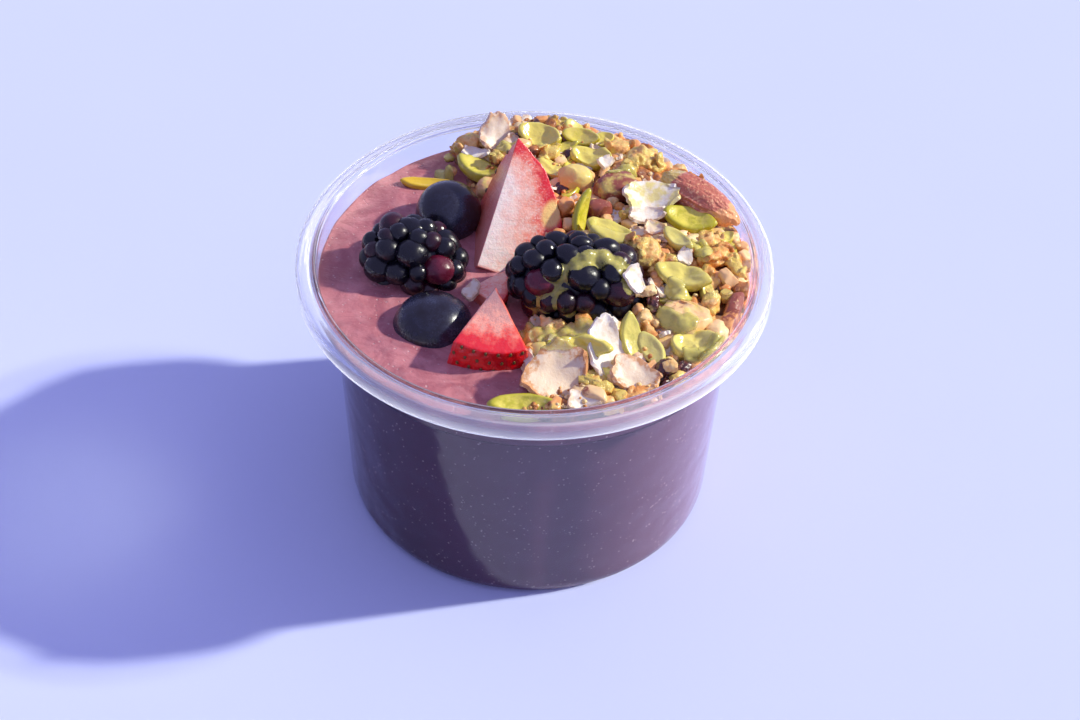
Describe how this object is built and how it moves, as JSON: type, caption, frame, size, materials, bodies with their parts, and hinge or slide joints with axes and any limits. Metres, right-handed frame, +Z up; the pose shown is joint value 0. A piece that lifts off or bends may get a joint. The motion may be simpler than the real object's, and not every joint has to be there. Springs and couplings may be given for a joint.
{
  "type": "acai bowl",
  "caption": "Clear plastic tub of thick acai topped with berries, cut strawberry, and a crescent of granola with seeds, nuts, coconut flakes and nut butter.",
  "frame": {"origin": "middle of the tub's base, on the surface that it stands on", "axes": "+Z up; the granola crescent lies on the +X side and the bare acai on the -X side; -Y is the side nearer the viewer of the source picture"},
  "size_m": [0.098, 0.098, 0.0756],
  "materials": {
    "clear_plastic": "clear, glossy",
    "acai": "smooth, moist, satin",
    "blueberry": "satin with a pale bloom",
    "bramble": "glossy drupelets",
    "strawberry": "glossy skin, moist cut faces",
    "almond": "wrinkled skin, lightly glazed",
    "granola": "toasted, partly glazed with nut butter"
  },
  "bodies": {
    "root": {"cup": "clear_plastic", "acai": "acai", "blueberry_front": "blueberry", "blueberry_back": "blueberry", "bramble_left": "bramble", "bramble_right": "bramble", "strawberry_tall": "strawberry", "strawberry_small": "strawberry", "strawberry_chunk": "strawberry", "almond": "almond", "granola_heap": "granola"}
  },
  "joints": []
}
